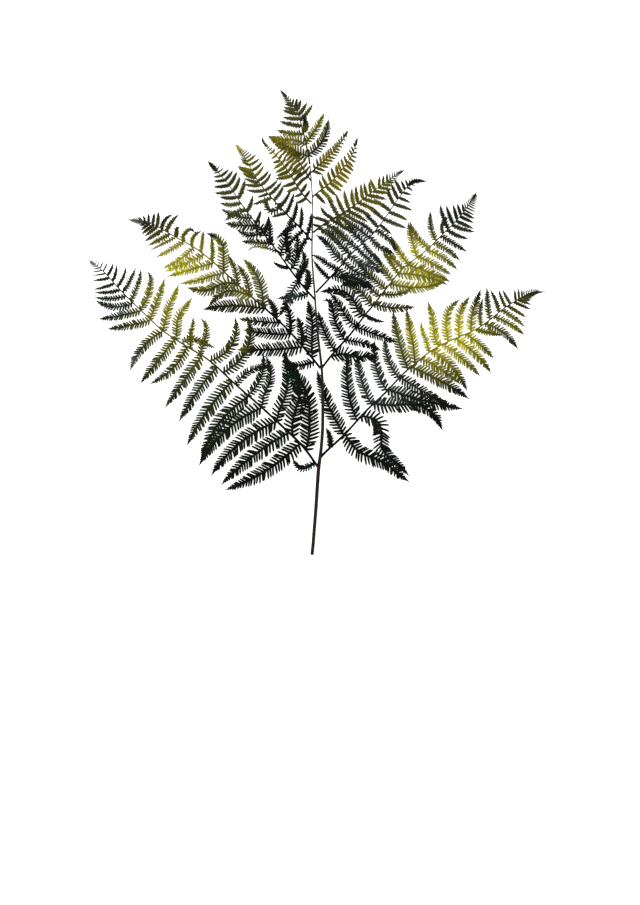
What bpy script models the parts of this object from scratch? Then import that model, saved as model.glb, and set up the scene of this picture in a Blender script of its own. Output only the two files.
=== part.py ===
"""A cut bracken frond lying on a surface: its stalk, six pairs of pinnae and the crown at its end.

Metres, +Z up. +Y runs from the cut end of the stalk towards the tip of the frond.
The origin is the middle of the frond's footprint, on the surface that it lies on.
"""

import bmesh
import bpy
import numpy as np
from mathutils import Vector
from mathutils.geometry import intersect_line_line_2d

# The frond's real length. Places on it are read on the plate, a grid of columns and rows counted
# from its upper left corner, and the frond is laid out between these four of them.
FROND_LENGTH = 0.580
TIP_ROW, CUT_ROW = 89.5, 555.0
LEFT_COLUMN, RIGHT_COLUMN = 88.0, 546.0
STEP = FROND_LENGTH / (CUT_ROW - TIP_ROW)

# Thickness of the leaf and of a pinna's rib. The rib's half width shrinks by RIB_TAPER to its tip,
# and its thickness goes by weight: 1 on its middle at the stalk, less at its tip and at the corners
# of its base, and 0 on the leaf.
BLADE = 0.0007
RIB = 0.0020
RIB_HALF_WIDTH = 0.0011
RIB_TAPER = 0.72
TIP_WEIGHT = 0.25
BASE_CORNER_WEIGHT = 0.3
FEWEST_RIB_POINTS = 6

# A rib ends this far from the stalk's side, measured from the nearer corner of its base, which
# stands out by RIB_CORNER of its half width. Leaf stays this far from the stalk's middle.
SEAT_GAP = 0.00035
RIB_CORNER = 0.9
STALK_CLEARANCE = 0.0030

# Stalk: its radius at the cut end and where the crown begins, and its line on the plate. Its ten
# sides put a flat under it. As far as LEVEL_ROW it keeps its thickness and lies on that flat.
STALK_RADIUS = 0.0020
STALK_END_RADIUS = 0.0008
STALK_TAPER_POWER = 1.2
STALK_BEVEL_RESOLUTION = 3
FLAT_SHARE = np.cos(np.pi / 10)
LEVEL_ROW = 530
STALK_LINE = [
    (312, 555), (313.2, 543), (314.2, 530), (316, 507), (317.4, 485), (318.8, 467), (321, 450),
    (322.5, 430), (322.8, 410), (322.5, 390), (321.8, 370), (319.6, 350), (317.4, 330),
    (315.8, 310), (314.8, 295), (313.2, 275), (312, 255), (312.2, 235), (312.8, 215),
    (312.4, 200), (311.6, 185), (310.6, 173), (310, 165.2),
]

# Height of the leaf above the surface along the stalk, as (row, height), and how far it has come
# down at SIDE_REACH from the stalk.
LEVEL = STALK_RADIUS * FLAT_SHARE
HEIGHTS = [(CUT_ROW, LEVEL), (LEVEL_ROW, LEVEL), (500, 0.0048), (460, 0.0100), (400, 0.0135),
           (300, 0.0140), (220, 0.0115), (150, 0.0070), (88, 0.0030)]
SIDE_FALL = 0.0110
SIDE_REACH = 0.285

# Shape of a pinnule: how many lobes a side it has for its length in plate steps, how deep the cuts
# between them go, how much narrower it gets towards its tip, and its half width as a share of the
# room beside it and of its length. The shortest are kites, or plain triangles.
LOBES = [(58, 7), (38, 5), (22, 3), (0, 0)]
CUT_DEPTH = 0.30
LOBE_PEAK = 0.78
BARE_TIP = 0.6
TIP_NARROWING = 0.92
NARROWING_POWER = 1.6
WIDTH_OF_ROOM = 0.45
WIDTH_OF_LENGTH = 0.12
ROOT_OF_ROOM = 0.30
WIDEST_ROOT = 0.0016
SHORTEST_KITE = 10.0
KITE_PEAK = 0.45
SHORTEST = 5.0

# A pinnule that would cross the one before it, or the stalk, is made smaller by this share, again
# and again, up to this many times.
SHRINK = 0.07
SHRINKINGS = 12

# How finely curves are worked out, and over what length or share their direction is read.
RIB_STEPS = 60
MIDLINE_STEPS = 24
RIB_REACH = 0.002
MIDLINE_REACH = 0.04
SPAN_STEPS = 8

# Each pinna has its rib as points on the plate, from the stalk to its tip, and its pinnules on
# its upper and lower side. A pinnule is (column where it leaves the rib, its tip's column and row,
# bow). Bow is how far its middle stands off the straight line, as a share of its length, towards
# the base of the pinna. Past the last one listed they shrink to the tip by rule. Tilt turns the
# pinna like a louvre, so that it passes over the next one down, and lift raises its tip.
PINNAE = {
    "pinna_left_1": dict(
        rib=[(318, 467), (303, 446.5), (283, 427), (258, 404), (235, 384), (210, 361), (186, 346),
             (163, 331), (151, 320), (140, 309.5), (126, 296), (113, 282), (103, 271), (88, 259.5)],
        upper=[(308, 287, 360, .20), (296, 283, 354, .16), (281, 285, 350, .10), (264, 268, 356, .16),
               (248, 263, 353, .14), (236, 272, 367, -.16), (223, 248, 317, .20), (210, 235, 317, .22),
               (198, 201, 317, .17), (185, 178, 305, .26), (172, 193, 297, .03), (160, 178, 284, .08),
               (150, 164, 278, .10), (140, 149, 271, .15), (131, 141, 269, .10), (122, 136, 267, .08),
               (118, 125, 267, .08), (112, 116, 264, .08), (107, 113, 262, .06)],
        lower=[(314, 293, 459, .30), (300, 225, 490, .06), (289, 221, 485, -.04), (277, 211, 476, -.08),
               (262, 199, 466, -.09), (249, 201, 459, -.09), (232, 187, 446, -.04),
               (217, 179, 422, -.03), (202, 165, 408, .0), (187, 150, 384, .10), (175, 140, 384, .0),
               (163, 130, 371, -.10), (151, 107, 329, .02), (141, 98, 319, .02), (133, 95, 300, .14),
               (126, 94, 297, .06), (120, 94, 292, .05), (114, 93, 289, .04), (109, 92, 280, .04)],
        tilt=.055, lift=-.0042),
    "pinna_right_1": dict(
        rib=[(321, 457), (326, 451.5), (345, 434), (365, 412), (385, 393), (403, 374), (416, 363),
             (428, 353), (441, 345), (455, 338.5), (468, 333), (480, 327), (492, 318), (503, 309),
             (512, 303), (522, 297), (532, 292), (546, 291.5)],
        upper=[(330, 326, 428, -.10), (344, 317, 370, .04), (357, 349, 352, .08), (372, 357, 353, .06),
               (387, 375, 340, .10), (399, 385, 337, .10), (409, 393, 311, .03), (419, 407, 310, .05),
               (430, 420, 322, .0), (441, 427, 301, .04), (453, 460, 298, .24), (466, 469, 296, .16),
               (475, 481, 289, .10), (484, 487, 287, .08), (493, 491, 289, .04), (501, 500, 289, .04),
               (508, 505, 289, .04), (515, 514, 289, .0), (519, 518, 288, .0)],
        lower=[(347, 410, 482, .02), (361, 410, 475, -.22), (374, 443, 431, -.22), (388, 463, 409, .02),
               (400, 449, 405, .02), (411, 469, 399, -.03), (421, 462, 384, -.04), (432, 467, 391, -.08),
               (443, 480, 376, -.03), (455, 491, 372, -.06), (466, 493, 358, -.04), (476, 502, 333, .04),
               (485, 518, 349, -.10), (494, 525, 335, -.05), (501, 525, 327, -.03), (507, 527, 317, .0),
               (513, 532, 309, .0), (518, 532, 304, .0)],
        tilt=.055, lift=-.0043),
    "pinna_left_2": dict(
        rib=[(320.5, 368.5), (303, 347), (287, 329), (270, 313), (255, 300), (240, 287), (222, 270),
             (207, 257), (195, 248), (183, 241), (170, 234), (157, 226), (145, 221), (127, 219.5)],
        upper=[(312, 306, 303, .02), (302, 297, 317, .08), (290, 284, 303, .10), (276, 267, 298, .10),
               (263, 244, 259, .12), (250, 237, 264, .08), (238, 226, 255, .06), (226, 220, 238, .06),
               (214, 207, 232, .08), (204, 201, 230, .04), (195, 190, 229, .04), (186, 187, 230, .0),
               (176, 176, 226, .0), (168, 179, 214, .10), (161, 173, 214, .14), (156, 158, 211, .08),
               (151, 154, 212, .04)],
        lower=[(315, 283, 366, .06), (303, 237, 350, .02), (292, 243, 330, .03), (281, 239, 319, .02),
               (266, 203, 310, -.06), (252, 209, 306, -.10), (238, 187, 288, .10), (225, 180, 284, .0),
               (214, 167, 277, .0), (204, 164, 272, .02), (194, 162, 269, .0), (184, 156, 257, .0),
               (175, 150, 250, .0), (167, 148, 245, .0), (160, 144, 242, .0), (153, 141, 234, .0)],
        tilt=.06, lift=.0),
    "pinna_right_2": dict(
        rib=[(322, 368), (330, 357.5), (340, 346), (350, 335), (358, 324.5), (366, 314), (374, 304.5),
             (382, 294), (390, 284), (398, 274), (407, 265), (418, 257), (428, 249), (438, 239),
             (447, 230), (455, 222), (463, 213), (470, 203), (477.5, 190.5)],
        upper=[(335, 318, 311, .05), (345, 327, 299, .06), (353, 331, 293, .04), (362, 321, 291, .24),
               (373, 335, 277, .16), (382, 345, 271, .14), (388, 357, 248, .06), (395, 371, 243, .04),
               (402, 383, 246, .04), (408, 391, 236, .04), (417, 408, 222, .02), (429, 410, 221, .12),
               (436, 431, 211, .10), (443, 449, 217, .22), (448, 440, 204, .04), (453, 446, 205, .02),
               (457, 453, 204, .0), (461, 457, 203, .0), (464, 462, 203, .0)],
        lower=[(333, 374, 357, -.08), (345, 381, 351, -.06), (356, 397, 343, .0), (365, 385, 322, .08),
               (374, 415, 307, .06), (382, 412, 288, .12), (390, 443, 283, .08), (398, 447, 285, -.06),
               (407, 450, 282, -.02), (418, 451, 275, -.02), (427, 457, 270, -.06), (434, 460, 261, -.05),
               (441, 467, 252, .0), (447, 469, 239, .06), (452, 475, 232, .04), (456, 474, 229, .0),
               (460, 474, 223, .0), (463, 475, 219, .0)],
        tilt=.06, lift=.0),
    "pinna_left_3": dict(
        rib=[(315, 300), (306, 290), (297, 279), (286, 264), (276, 250), (266, 237), (256, 223.5),
             (247, 212), (238, 199), (228, 184), (221, 176), (215, 169), (207.5, 161)],
        upper=[(306, 311, 252, .06), (297, 301, 240, .06), (289, 297, 229, .04), (280, 292, 216, .02),
               (271, 272, 214, .12), (264, 269, 216, .04), (256, 261, 210, .04), (238, 245, 179, .06),
               (233, 240, 176, .06), (229, 237, 171, .05), (225, 233, 170, .04), (221, 229, 169, .04)],
        lower=[(309, 277, 299, .08), (299, 279, 315, -.04), (289, 273, 262, .10), (278, 246, 253, -.10),
               (271, 241, 242, .02), (264, 230, 230, .06), (257, 225, 223, .04), (251, 223, 221, -.06),
               (245, 221, 209, .06), (241, 219, 203, .04), (237, 219, 197, .06), (233, 214, 193, .06),
               (229, 213, 187, .04), (225, 213, 181, .04), (221, 213, 177, .03)],
        tilt=.075, lift=.0),
    "pinna_right_3": dict(
        rib=[(316, 293), (330, 278), (342, 265), (352, 253.5), (362, 244), (372, 235), (380, 225),
             (388, 214), (395, 203), (402, 194), (408, 186), (416, 181), (427, 181.5)],
        upper=[(331, 315, 258, .06), (341, 319, 254, .06), (350, 322, 230, .06), (358, 333, 226, .06),
               (365, 341, 219, .04), (372, 348, 216, .03), (378, 357, 210, .02), (384, 366, 205, .0),
               (390, 374, 199, .0), (394, 387, 186, .05), (398, 391, 183, .02), (402, 394, 178, .0),
               (405, 401, 180, .0), (408, 405, 179, .0)],
        lower=[(324, 345, 290, .08), (333, 361, 282, .04), (342, 374, 278, .0), (350, 385, 273, -.02),
               (357, 391, 270, -.02), (364, 395, 254, -.04), (371, 400, 250, -.04), (377, 406, 238, -.02),
               (384, 407, 229, .0), (389, 408, 221, -.03), (394, 413, 211, -.02), (399, 411, 203, .0),
               (403, 412, 195, .0), (407, 413, 191, .0)],
        tilt=.075, lift=.0),
    "pinna_left_4": dict(
        rib=[(311.5, 241), (300, 228), (288, 216), (276, 203), (265, 190.5), (256, 178), (250, 167),
             (245, 158), (240, 151), (234.5, 142.5)],
        upper=[(307, 311, 212, .06), (300, 301, 206, .06), (293, 297, 200, .04), (286, 294, 193, .04),
               (280, 291, 189, .05), (274, 284, 185, .05), (269, 282, 181, .06), (265, 278, 179, .08),
               (261, 271, 172, .10), (258, 269, 170, .08), (255, 264, 165, .06), (252, 263, 161, .06),
               (249, 260, 158, .06), (247, 256, 154, .06)],
        lower=[(308, 297, 262, -.06), (303, 285, 250, -.04), (297, 276, 240, -.04), (290, 271, 218, .0),
               (283, 271, 211, .02), (277, 253, 206, .02), (271, 257, 198, .0), (267, 246, 190, .08),
               (263, 243, 184, .07), (260, 244, 178, .07), (257, 242, 173, .07), (254, 238, 168, .05),
               (252, 237, 166, .03), (249, 241, 161, .03), (247, 240, 159, .0)],
        tilt=.085, lift=.0),
    "pinna_right_4": dict(
        rib=[(313, 233), (322, 226), (333, 219), (345, 212), (358, 203), (370, 194), (380, 186),
             (389, 180), (397, 174), (406, 169.5)],
        upper=[(322, 315, 214, .06), (330, 320, 206, .02), (338, 327, 195, .02), (344, 336, 194, .04),
               (349, 344, 190, .04), (354, 352, 188, .06), (358, 356, 185, .04), (363, 361, 183, .04),
               (367, 364, 182, .03), (371, 369, 181, .03), (375, 370, 178, .03), (379, 380, 176, .03),
               (383, 384, 175, .03), (387, 387, 173, .0)],
        lower=[(319, 340, 247, -.04), (325, 349, 243, -.03), (331, 353, 234, -.03), (337, 355, 229, -.02),
               (342, 361, 225, -.02), (347, 368, 223, -.02), (352, 372, 217, -.02), (358, 378, 212, -.02),
               (363, 384, 206, -.02), (368, 387, 200, -.02), (373, 390, 194, -.02), (378, 392, 190, .0),
               (382, 394, 186, .0), (386, 395, 183, .0)],
        tilt=.085, lift=.0005),
    "pinna_left_5": dict(
        rib=[(311.4, 204), (303, 195), (297, 186), (291, 176), (285, 167), (279, 159), (273, 152),
             (267, 146), (263, 141), (262.5, 136)],
        upper=[(305, 310, 190, .05), (301, 307, 183, .05), (297, 304, 177, .04), (294, 301, 171, .04),
               (291, 297, 168, .04), (288, 293, 164, .04), (285, 290, 160, .03), (282, 286, 157, .03),
               (279, 282, 153, .03), (276, 279, 151, .0), (273, 275, 148, .0)],
        lower=[(306, 296, 204, .04), (302, 294, 197, .06), (298, 286, 192, .04), (295, 282, 187, .03),
               (291, 275, 179, .03), (288, 276, 176, .03), (285, 275, 173, .03), (282, 273, 169, .03),
               (280, 272, 163, .03), (276, 271, 159, .0), (273, 268, 154, .0)],
        tilt=.10, lift=-.0035),
    "pinna_right_5": dict(
        rib=[(312.8, 197), (320, 191), (328, 185), (335, 178), (342, 170), (348, 162), (352, 155),
             (355, 147), (357.5, 137)],
        upper=[(323, 319, 179, .06), (327, 322, 175, .05), (331, 328, 171, .05), (335, 331, 167, .04),
               (338, 336, 164, .04), (341, 338, 161, .04), (344, 341, 158, .03), (347, 344, 155, .03),
               (350, 347, 152, .0)],
        lower=[(316, 326, 205, .0), (321, 334, 203, .0), (326, 337, 197, .0), (330, 342, 192, .0),
               (333, 344, 188, .0), (337, 348, 184, .0), (340, 350, 180, .0), (343, 352, 175, .0),
               (346, 354, 172, .0), (348, 354, 168, .0), (350, 356, 163, .0)],
        tilt=.10, lift=.0),
    "pinna_left_6": dict(
        rib=[(310.8, 181), (304, 170), (298, 161), (291, 153), (284, 147), (276, 142), (268.5, 137)],
        upper=[(307, 311, 168, .0), (304, 309, 163, .0), (301, 306, 159, .0), (298, 303, 155, .0),
               (295, 299, 151, .0), (291, 295, 148, .0), (287, 290, 145, .0)],
        lower=[(308, 299, 183, .03), (304, 294, 177, .03), (300, 290, 171, .03), (297, 287, 166, .03),
               (294, 285, 162, .03), (290, 283, 158, .03), (286, 280, 153, .0)],
        tilt=.11, lift=-.0008),
    "pinna_right_6": dict(
        rib=[(311.2, 173), (318, 166), (325, 160), (331, 154), (338, 147), (343, 140), (348.5, 129.5)],
        upper=[(317, 314, 163, .0), (320, 318, 157, .0), (324, 322, 153, .0), (328, 326, 151, .0),
               (331, 329, 148, .0), (334, 333, 146, .0), (337, 336, 143, .0), (340, 339, 140, .0)],
        lower=[(315, 323, 174, .0), (319, 328, 171, .0), (323, 330, 166, .0), (327, 334, 162, .0),
               (331, 337, 159, .0), (335, 341, 153, .0), (339, 343, 149, .0), (342, 345, 144, .0)],
        tilt=.11, lift=.0),
}

# The crown is the end of the stalk with its last small pinnae. Its first number is a row.
CROWN = dict(
    rib=[(309.8, 164.5), (308.6, 156), (306, 144), (303.5, 133), (300.5, 122), (297.5, 113),
         (293, 105), (288, 99), (284, 94), (279.5, 89.5)],
    left=[(157, 269, 139, .04), (145, 268, 136, .08), (134, 276, 129.5, .05), (126, 278, 121, .04),
          (119, 281, 117, .03), (114, 281, 109, .06), (110, 283, 106, .04)],
    right=[(155, 328.5, 119, .12), (143, 324.5, 113, .04), (132, 307, 120, -.06), (120, 313.5, 104, .05),
           (115, 307.5, 101.5, .05), (111, 301.5, 99.5, .06), (107, 297.5, 98, .05)],
    lift=.0030)


def plate(points):
    """Plate columns and rows as metres from the middle of the footprint."""
    p = np.atleast_2d(np.asarray(points, float))
    middle = (LEFT_COLUMN + RIGHT_COLUMN) / 2, (TIP_ROW + CUT_ROW) / 2
    return np.column_stack([p[:, 0] - middle[0], middle[1] - p[:, 1]]) * STEP


def lengths_along(line):
    return np.concatenate([[0], np.cumsum(np.linalg.norm(np.diff(line, axis=0), axis=1))])


def point_at(line, along, wanted):
    return np.array([np.interp(wanted, along, line[:, k]) for k in range(2)])


def direction_at(line, along, wanted, reach):
    ahead, behind = (point_at(line, along, wanted + d) for d in (reach, -reach))
    return (ahead - behind) / np.linalg.norm(ahead - behind)


def normal_of(direction):
    return np.array([-direction[1], direction[0]])


def normal_towards(direction, there):
    """The normal of a direction that points to the same side as another vector."""
    normal = normal_of(direction)
    return normal if normal @ there > 0 else -normal


def smooth_line(points, count):
    """A smooth curve through the points, sampled at even steps along it."""
    p = np.vstack([2 * points[0] - points[1], points, 2 * points[-1] - points[-2]])
    t = np.linspace(0, 1, SPAN_STEPS, endpoint=False)[:, None]
    spans = [
        0.5 * (2 * b + (c - a) * t + (2 * a - 5 * b + 4 * c - d) * t**2 + (3 * b - a - 3 * c + d) * t**3)
        for a, b, c, d in zip(p, p[1:], p[2:], p[3:])
    ]
    line = np.vstack(spans + [points[-1:]])
    along = lengths_along(line)
    wanted = np.linspace(0, along[-1], count)
    return np.column_stack([np.interp(wanted, along, line[:, k]) for k in range(2)])


STALK = plate(STALK_LINE)


def stalk_x(y):
    return np.interp(y, STALK[:, 1], STALK[:, 0])


def stalk_radius(y):
    level_end = plate((0, LEVEL_ROW))[0, 1]
    share = np.clip((y - level_end) / (STALK[-1, 1] - level_end), 0, 1)
    return STALK_RADIUS + (STALK_END_RADIUS - STALK_RADIUS) * share**STALK_TAPER_POWER


def stalk_height(y):
    rows, heights = np.array(HEIGHTS).T
    return np.interp(y, plate(np.column_stack([rows, rows]))[:, 1], heights)


def leaf_height(point):
    """Height of the whole leaf: that of the stalk, less a fall towards the sides."""
    aside = abs(point[0] - stalk_x(point[1])) / SIDE_REACH
    return stalk_height(point[1]) - SIDE_FALL * aside**2


def rib_half_width(share):
    return RIB_HALF_WIDTH * (1 - RIB_TAPER * share)


def midline(root, tip, bow, towards_base):
    """A bowed line from root to tip. Its middle stands off the chord towards the pinna's base."""
    off = normal_towards(tip - root, towards_base)
    t = np.linspace(0, 1, MIDLINE_STEPS)[:, None]
    middle = (root + tip) / 2 + off * bow * 2
    return (1 - t) ** 2 * root + 2 * t * (1 - t) * middle + t**2 * tip


def one_edge(length, half_width):
    """One edge of a pinnule as (share of its length, width): its lobes and the cuts between."""
    steps = length / STEP
    count = next(lobes for least, lobes in LOBES if steps >= least)
    if not count:
        return [(KITE_PEAK, half_width)] if steps >= SHORTEST_KITE else []
    edge = []
    for k in range(count):
        start, end = k / (count + BARE_TIP), (k + 1) / (count + BARE_TIP)
        width = half_width * (1 - (start * TIP_NARROWING) ** NARROWING_POWER)
        edge.append((start + LOBE_PEAK * (end - start), width))
        if k < count - 1:
            edge.append((end, width * CUT_DEPTH))
    return edge


def pinnule_outline(line, half_width, heading, root_half):
    """The outline of a pinnule round its midline, from one corner of its root to the other."""
    along = lengths_along(line)
    length = along[-1]

    def beside(share, across):
        direction = direction_at(line, along, share * length, MIDLINE_REACH * length)
        return point_at(line, along, share * length) + normal_of(direction) * across

    edge = one_edge(length, half_width)
    side = 1 if normal_of(line[1] - line[0]) @ heading < 0 else -1
    near = [beside(share, side * width) for share, width in edge]
    far = [beside(share, -side * width) for share, width in reversed(edge)]
    return np.array([line[0] - heading * root_half, *near, line[-1], *far, line[0] + heading * root_half])


def edges_cross(a, b):
    """Whether two open outlines cross."""
    if (a.min(0) > b.max(0)).any() or (b.min(0) > a.max(0)).any():
        return False
    return any(
        intersect_line_line_2d(Vector(p), Vector(q), Vector(r), Vector(s))
        for p, q in zip(a, a[1:])
        for r, s in zip(b, b[1:])
    )


def pinnule_places(rib, along, listed, key):
    """(distance along the rib, tip, bow) of each pinnule, with the small ones past the last listed."""
    order = np.argsort(rib[:, key])
    places = []
    for mark, column, row, bow in listed:
        level = plate((mark, mark))[0, key]
        places.append((np.interp(level, rib[order, key], along[order]), plate((column, row))[0], bow))
    last, tip, bow = places[-1]
    left = along[-1] - last
    step = last - places[-2][0]
    ratio = max(0, 1 - step / left)
    reach = tip - point_at(rib, along, last)
    share = ratio
    while np.linalg.norm(reach) * share > SHORTEST * STEP:
        at = along[-1] - left * share
        places.append((at, point_at(rib, along, at) + reach * share, bow))
        share *= ratio
    return places


def side_pinnules(rib, listed, key, stays_clear):
    """Outlines of one side's pinnules, from the base of the pinna to its tip. Each is made smaller
    until it crosses neither those before it nor the stalk."""
    along = lengths_along(rib)
    places = pinnule_places(rib, along, listed, key)
    outlines = []
    for i, (at, tip, bow) in enumerate(places):
        root = point_at(rib, along, at)
        heading = direction_at(rib, along, at, RIB_REACH)
        start = root + normal_towards(heading, tip - root) * rib_half_width(at / along[-1])
        room = min(abs(at - places[j][0]) for j in (i - 1, i + 1) if 0 <= j < len(places))
        root_half = min(ROOT_OF_ROOM * room, WIDEST_ROOT)
        half_width = min(WIDTH_OF_ROOM * room, WIDTH_OF_LENGTH * np.linalg.norm(tip - start))
        for size in 1 - SHRINK * np.arange(SHRINKINGS):
            line = midline(start, start + (tip - start) * size, bow, rib[0] - rib[-1])
            shape = pinnule_outline(line, half_width * size, heading, root_half)
            if stays_clear(shape) and not any(edges_cross(shape, other) for other in outlines):
                break
        outlines.append(shape)
    return outlines


def leaf_surface(name, rib, sides, tilt, lift):
    """One pinna's leaf as an open surface: its pinnules, and a strip on either side from them to the
    rib's middle, one face for each step along it. Where it has come down to the surface it lies flat."""
    bm = bmesh.new()
    weight_layer = bm.verts.layers.deform.verify()
    length = np.linalg.norm(rib[-1] - rib[0])
    chord = (rib[-1] - rib[0]) / length
    to_cut_end = normal_towards(chord, (0, -1))

    def vertex(point, weight):
        share = np.clip((point - rib[0]) @ chord / length, 0, 1)
        z = leaf_height(point) + tilt * ((point - rib[0]) @ to_cut_end) + lift * share
        lying = (BLADE + (RIB - BLADE) * weight) / 2
        made = bm.verts.new((*point, max(z, lying)))
        made[weight_layer][0] = weight
        return made

    spine = smooth_line(rib, max(FEWEST_RIB_POINTS, len(sides[0]) // 2))
    weights = np.linspace(1, TIP_WEIGHT, len(spine))
    middle = [vertex(point, weight) for point, weight in zip(spine, weights)]
    for outlines in sides:
        out = normal_towards(chord, outlines[0][0] - rib[0])
        edge = [vertex(rib[0] + out * rib_half_width(0), BASE_CORNER_WEIGHT)]
        for outline in outlines:
            ring = [vertex(point, 0) for point in outline]
            bm.faces.new(ring)
            edge += [ring[0], ring[-1]]
        reached = [np.array(v.co.xy) @ chord for v in edge]
        first = 0
        for near, far in zip(middle, middle[1:]):
            last = len(edge) - 1
            if far is not middle[-1]:
                last = max(first, np.searchsorted(reached, np.array(far.co.xy) @ chord) - 1)
            bm.faces.new([far, near, *edge[first:last + 1]])
            first = last
    bmesh.ops.triangulate(bm, faces=bm.faces, ngon_method="BEAUTY")
    bmesh.ops.recalc_face_normals(bm, faces=bm.faces)
    if sum(face.normal.z for face in bm.faces) < 0:
        bmesh.ops.reverse_faces(bm, faces=bm.faces)
    mesh = bpy.data.meshes.new(name)
    bm.to_mesh(mesh)
    bm.free()
    return mesh


def seated(rib):
    """The rib cut back so that it starts just clear of the stalk's side."""
    away = np.abs(rib[:, 0] - stalk_x(rib[:, 1]))
    seat = stalk_radius(rib[0, 1]) + SEAT_GAP + RIB_CORNER * RIB_HALF_WIDTH
    first = np.argmax(away >= seat)
    share = (seat - away[first - 1]) / (away[first] - away[first - 1])
    start = rib[first - 1] + (rib[first] - rib[first - 1]) * share
    return np.vstack([start, rib[first + 1:]])


def add_leaf(name, rib, sides, tilt, lift):
    """One node: the open surface of a pinna or of the crown, given its thickness by Solidify."""
    leaf = bpy.data.objects.new(name, leaf_surface(name, rib, sides, tilt, lift))
    frond.objects.link(leaf)
    leaf.vertex_groups.new(name="rib")
    solid = leaf.modifiers.new("thickness", "SOLIDIFY")
    solid.thickness = RIB
    solid.offset = 0
    solid.vertex_group = "rib"
    solid.thickness_vertex_group = BLADE / RIB
    leaf.data.materials.append(leaf_green)


def add_pinna(name, rib, upper, lower, tilt, lift):
    """A pinna. Its pinnules stay on their own side of the stalk."""
    line = seated(smooth_line(plate(rib), RIB_STEPS))
    side = 1 if line[-1, 0] > line[0, 0] else -1

    def clear_of_stalk(shape):
        return bool(((shape[:, 0] - stalk_x(shape[:, 1])) * side > STALK_CLEARANCE).all())

    sides = [side_pinnules(line, listed, 0, clear_of_stalk) for listed in (upper, lower)]
    add_leaf(name, line, sides, tilt, lift)


def add_crown(rib, left, right, lift):
    """The end of the stalk with its last small pinnae, which leave it row by row."""
    line = smooth_line(plate(rib), RIB_STEPS)
    sides = [side_pinnules(line, listed, 1, lambda shape: True) for listed in (left, right)]
    add_leaf("crown", line, sides, 0, lift)


def add_stalk():
    """The stalk as a tapered tube. Its underside is flat and level at the cut end."""
    curve = bpy.data.curves.new("stalk", "CURVE")
    curve.dimensions = "3D"
    curve.bevel_depth = 1.0
    curve.bevel_resolution = STALK_BEVEL_RESOLUTION
    curve.use_fill_caps = True
    spline = curve.splines.new("POLY")
    spline.points.add(len(STALK) - 1)
    for point, (x, y) in zip(spline.points, STALK):
        point.co = (x, y, stalk_height(y), 1)
        point.radius = stalk_radius(y)
    stalk = bpy.data.objects.new("stalk", curve)
    frond.objects.link(stalk)
    stalk.data.materials.append(stalk_brown)


def material_of(name, colour, roughness):
    material = bpy.data.materials.new(name)
    material.use_nodes = True
    shader = material.node_tree.nodes["Principled BSDF"]
    shader.inputs["Base Color"].default_value = (*colour, 1)
    shader.inputs["Roughness"].default_value = roughness
    shader.inputs["Metallic"].default_value = 0
    return material


for old in list(bpy.data.objects):
    bpy.data.objects.remove(old)
frond = bpy.data.collections.new("bracken_frond")
bpy.context.scene.collection.children.link(frond)
stalk_brown = material_of("stalk", (.055, .035, .018), .55)
leaf_green = material_of("leaf", (.085, .13, .035), .6)
add_stalk()
for pinna_name, layout in PINNAE.items():
    add_pinna(pinna_name, **layout)
add_crown(**CROWN)
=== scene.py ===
"""The looks of a cut bracken frond that lies on a pale floor, seen from straight above."""

import bpy
import numpy as np
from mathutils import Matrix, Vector


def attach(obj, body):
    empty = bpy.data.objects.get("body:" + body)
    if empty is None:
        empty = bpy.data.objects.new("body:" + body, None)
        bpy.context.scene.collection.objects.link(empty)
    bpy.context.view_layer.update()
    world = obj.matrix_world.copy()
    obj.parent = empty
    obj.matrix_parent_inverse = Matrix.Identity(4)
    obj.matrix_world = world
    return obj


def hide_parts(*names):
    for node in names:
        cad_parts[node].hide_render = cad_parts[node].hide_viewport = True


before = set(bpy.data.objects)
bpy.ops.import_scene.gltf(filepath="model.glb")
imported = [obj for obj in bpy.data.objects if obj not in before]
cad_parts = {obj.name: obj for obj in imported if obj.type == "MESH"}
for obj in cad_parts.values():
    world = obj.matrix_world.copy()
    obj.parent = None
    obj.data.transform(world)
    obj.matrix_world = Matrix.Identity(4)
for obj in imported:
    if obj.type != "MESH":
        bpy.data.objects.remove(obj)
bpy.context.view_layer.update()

# The place: a pale floor under soft white light, and a camera with a long lens that looks straight
# down on the frond. Columns and rows are places on the plate, a grid as wide as the picture.
FROND_LENGTH = 0.580
TIP_ROW, CUT_ROW = 89.5, 555.0
MIDDLE_COLUMN, MIDDLE_ROW = 317.0, (TIP_ROW + CUT_ROW) / 2
STEP = FROND_LENGTH / (CUT_ROW - TIP_ROW)
PICTURE_COLUMNS, PICTURE_ROWS = 640, 905
FROND_MEAN_HEIGHT = 0.006
LENS, SENSOR = 100.0, 36.0


def plate(points):
    """Columns and rows as metres: x = (column - middle) * step, y = (middle - row) * step."""
    p = np.atleast_2d(np.asarray(points, float))
    return np.column_stack([p[:, 0] - MIDDLE_COLUMN, MIDDLE_ROW - p[:, 1]]) * STEP


def area_light(name, place, aim, size, watts):
    """A square soft light at a place, turned to the point that it is aimed at."""
    lamp = bpy.data.lights.new(name, "AREA")
    lamp.energy = watts
    lamp.size = size
    light = bpy.data.objects.new(name, lamp)
    light.location = place
    light.rotation_euler = (Vector(aim) - Vector(place)).to_track_quat("-Z", "Y").to_euler()
    bpy.context.scene.collection.objects.link(light)


picture_middle = plate((PICTURE_COLUMNS / 2, PICTURE_ROWS / 2))[0]
lens = bpy.data.cameras.new("camera")
lens.lens = LENS
lens.sensor_width = SENSOR
camera = bpy.data.objects.new("camera", lens)
camera.location = (*picture_middle, FROND_MEAN_HEIGHT + PICTURE_ROWS * STEP * LENS / SENSOR)
bpy.context.scene.collection.objects.link(camera)
bpy.context.scene.camera = camera
bpy.context.scene.view_settings.view_transform = "Standard"

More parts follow.
